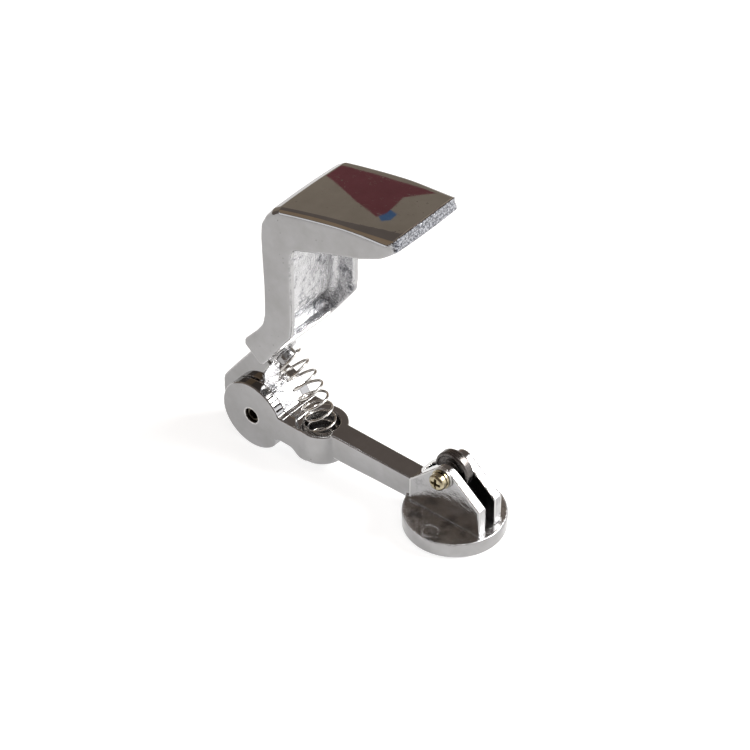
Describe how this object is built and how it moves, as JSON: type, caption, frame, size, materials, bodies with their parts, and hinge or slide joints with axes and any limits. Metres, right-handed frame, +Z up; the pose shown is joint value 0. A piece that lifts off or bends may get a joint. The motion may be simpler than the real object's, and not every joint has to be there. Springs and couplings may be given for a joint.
{
  "type": "spring-loaded lever arm",
  "caption": "Chromed cast arm with a round foot and a small roller, and a hollow cranked lever hinged to it over a compression spring.",
  "frame": {"origin": "middle of the round foot's flat underside", "axes": "+Z up out of the foot's top face, +X from the hinge towards the foot, +Y along the hinge axis away from the screw head"},
  "size_m": [0.0835, 0.026, 0.0896],
  "materials": {
    "chrome_casting": "polished chrome plate on die-cast metal",
    "roller_steel": "dark burnished steel, turned",
    "spring_wire": "bright nickel-plated spring wire",
    "pin_steel": "dull rolled spring steel",
    "washer_steel": "bright zinc",
    "screw_zinc": "yellow zinc plate"
  },
  "bodies": {
    "arm": {"arm_casting": "chrome_casting", "hinge_roll_pin": "pin_steel", "compression_spring": "spring_wire", "clevis_screw": "screw_zinc", "spring_washer": "screw_zinc", "flat_washer": "washer_steel"},
    "lever": {"lever_casting": "chrome_casting"},
    "roller": {"roller_wheel": "roller_steel"}
  },
  "joints": [
    {"name": "lever_hinge", "type": "hinge", "parent": "arm", "child": "lever", "pos_m": [-0.0588, 0, 0.00545], "axis": [0, 1, 0], "range_deg": [0, 28], "stiffness_Nm_per_rad": 0.29, "springref_deg": -11.46, "deforming": ["compression_spring"]},
    {"name": "roller_spin", "type": "hinge", "parent": "arm", "child": "roller", "pos_m": [-0.0004, 0, 0.0169], "axis": [0, 1, 0], "continuous": true}
  ]
}
